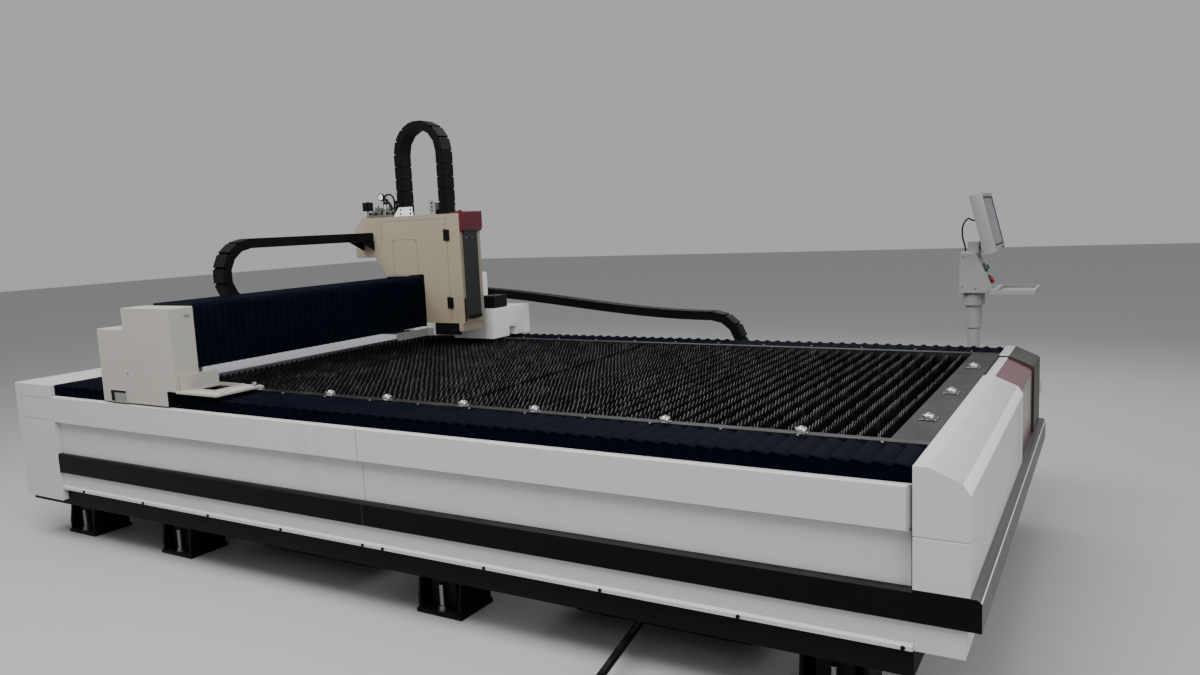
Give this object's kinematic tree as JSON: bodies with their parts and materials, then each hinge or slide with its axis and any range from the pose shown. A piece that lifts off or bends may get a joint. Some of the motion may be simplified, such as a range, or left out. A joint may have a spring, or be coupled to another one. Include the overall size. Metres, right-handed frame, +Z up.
{
  "type": "fiber laser cutting machine",
  "caption": "Open flatbed laser cutting machine: slatted table, travelling gantry with carriage and cutting head, bellows, drag chains, slag trays and operator console.",
  "frame": {"origin": "on the floor under the middle of the machine's overall box", "axes": "+X along the bed towards the console end, -Y is the operator's side in the picture, +Z up"},
  "size_m": [4.557, 3.1, 2.1066],
  "materials": {
    "white_paint": "light grey-white powder coat",
    "cream_paint": "warm cream powder coat",
    "black_paint": "near-black satin paint",
    "frame_paint": "dark grey frame paint",
    "bellows_cloth": "coated dark navy bellows cloth",
    "chain_plastic": "black moulded drag chain",
    "dark_steel": "scorched dark steel",
    "bright_steel": "ground bright steel",
    "plate_steel": "worn plate steel",
    "lamp_plastic": "glossy maroon cover",
    "olive_paint": "dark olive-grey paint",
    "grey_paint": "dark grey satin paint",
    "console_paint": "light grey console paint",
    "red_plastic": "red mushroom button",
    "green_plastic": "green button",
    "black_plastic": "black plastic"
  },
  "bodies": {
    "bed": {"bed_beam_near": "frame_paint", "bed_beam_far": "frame_paint", "cross_beam_left": "frame_paint", "cross_beam_middle": "frame_paint", "cross_beam_right": "frame_paint", "near_x_rail": "bright_steel", "far_x_rail": "bright_steel", "near_side_panel": "white_paint", "far_side_panel": "white_paint", "near_side_stripe": "black_paint", "far_side_stripe": "black_paint", "near_side_skirt": "white_paint", "far_side_skirt": "white_paint", "left_end_cover": "white_paint", "right_end_cap": "white_paint", "lamp_cover": "lamp_plastic", "end_cap_far_section": "olive_paint", "end_stripe": "black_paint", "end_skirt": "white_paint", "table_near_rail": "dark_steel", "table_far_rail": "dark_steel", "table_left_plate": "plate_steel", "table_right_plate": "plate_steel", "slat_bank_left": "dark_steel", "slat_bank_right": "dark_steel", "near_bellows_left": "bellows_cloth", "near_bellows_right": "bellows_cloth", "far_bellows_left": "bellows_cloth", "far_bellows_right": "bellows_cloth", "x_chain_tray": "white_paint", "x_chain_lower": "chain_plastic", "console_post": "console_paint"},
    "gantry": {"gantry_beam": "cream_paint", "near_end_cover": "cream_paint", "far_end_cover": "cream_paint", "shield_frame": "cream_paint", "beam_bellows_near": "bellows_cloth", "beam_bellows_far": "bellows_cloth", "x_chain_upper": "chain_plastic", "y_chain_lower": "chain_plastic"},
    "x_chain_roll": {"x_chain_loop": "chain_plastic"},
    "y_chain_roll": {"y_chain_loop": "chain_plastic"},
    "carriage": {"carriage_housing": "cream_paint", "head_cap": "lamp_plastic", "y_chain_upper": "chain_plastic", "z_chain": "chain_plastic", "gas_valve_block": "bright_steel"},
    "door": {"service_door": "cream_paint"},
    "head": {"head_column": "grey_paint", "cutting_head": "bright_steel"},
    "console": {"console_box": "console_paint", "keyboard_tray": "console_paint", "monitor_cable": "black_plastic"},
    "monitor": {"monitor": "console_paint"},
    "stop_button": {"emergency_stop": "red_plastic"},
    "start_button": {"start_button": "green_plastic"},
    "pause_button": {"pause_button": "black_plastic"},
    "left_tray": {"slag_tray_left": "frame_paint"},
    "right_tray": {"slag_tray_right": "frame_paint"},
    "drawbar": {"tray_drawbar": "frame_paint"}
  },
  "joints": [
    {"name": "gantry_x", "type": "slide", "parent": "bed", "child": "gantry", "axis": [1, 0, 0], "range_m": [0, 2.7], "deforming": ["near_bellows_right", "far_bellows_right", "near_bellows_left", "far_bellows_left", "x_chain_upper"]},
    {"name": "x_chain_run", "type": "slide", "parent": "bed", "child": "x_chain_roll", "axis": [1, 0, 0], "range_m": [0, 1.35], "deforming": ["x_chain_lower"]},
    {"name": "carriage_y", "type": "slide", "parent": "gantry", "child": "carriage", "axis": [0, 1, 0], "range_m": [-1.38, 0], "deforming": ["beam_bellows_near", "beam_bellows_far", "y_chain_upper"]},
    {"name": "y_chain_run", "type": "slide", "parent": "gantry", "child": "y_chain_roll", "axis": [0, 1, 0], "range_m": [-0.69, 0], "deforming": ["y_chain_lower"]},
    {"name": "head_z", "type": "slide", "parent": "carriage", "child": "head", "axis": [0, 0, 1], "range_m": [-0.095, 0], "deforming": ["z_chain"]},
    {"name": "door_swing", "type": "hinge", "parent": "carriage", "child": "door", "pos_m": [-0.7885, 0.5152, 0.945], "axis": [0, 0, -1], "range_deg": [0, 110]},
    {"name": "console_swivel", "type": "hinge", "parent": "bed", "child": "console", "pos_m": [1.925, 1.36, 1.04], "axis": [0, 0, 1], "range_deg": [-30, 90]},
    {"name": "monitor_tilt", "type": "hinge", "parent": "console", "child": "monitor", "pos_m": [1.936, 1.36, 1.279], "axis": [0, 1, 0], "range_deg": [-8, 14], "deforming": ["monitor_cable"]},
    {"name": "stop_press", "type": "slide", "parent": "console", "child": "stop_button", "axis": [-0.9147, 0, -0.4041], "range_m": [0, 0.004]},
    {"name": "start_press", "type": "slide", "parent": "console", "child": "start_button", "axis": [-0.9147, 0, -0.4041], "range_m": [0, 0.003], "stiffness_N_per_m": 400, "springref_m": -0.002},
    {"name": "pause_press", "type": "slide", "parent": "console", "child": "pause_button", "axis": [-0.9147, 0, -0.4041], "range_m": [0, 0.003], "stiffness_N_per_m": 400, "springref_m": -0.002},
    {"name": "left_tray_pull", "type": "slide", "parent": "bed", "child": "left_tray", "axis": [0, -1, 0], "range_m": [0, 1.4]},
    {"name": "right_tray_pull", "type": "slide", "parent": "bed", "child": "right_tray", "axis": [0, -1, 0], "range_m": [0, 1.4]},
    {"name": "drawbar_lift", "type": "hinge", "parent": "right_tray", "child": "drawbar", "pos_m": [1.16, -0.853, 0.12], "axis": [-1, 0, 0], "range_deg": [0, 14]}
  ],
  "couplings": [
    {"joint": "x_chain_run", "follows": "gantry_x", "ratio": 0.5},
    {"joint": "y_chain_run", "follows": "carriage_y", "ratio": 0.5}
  ]
}
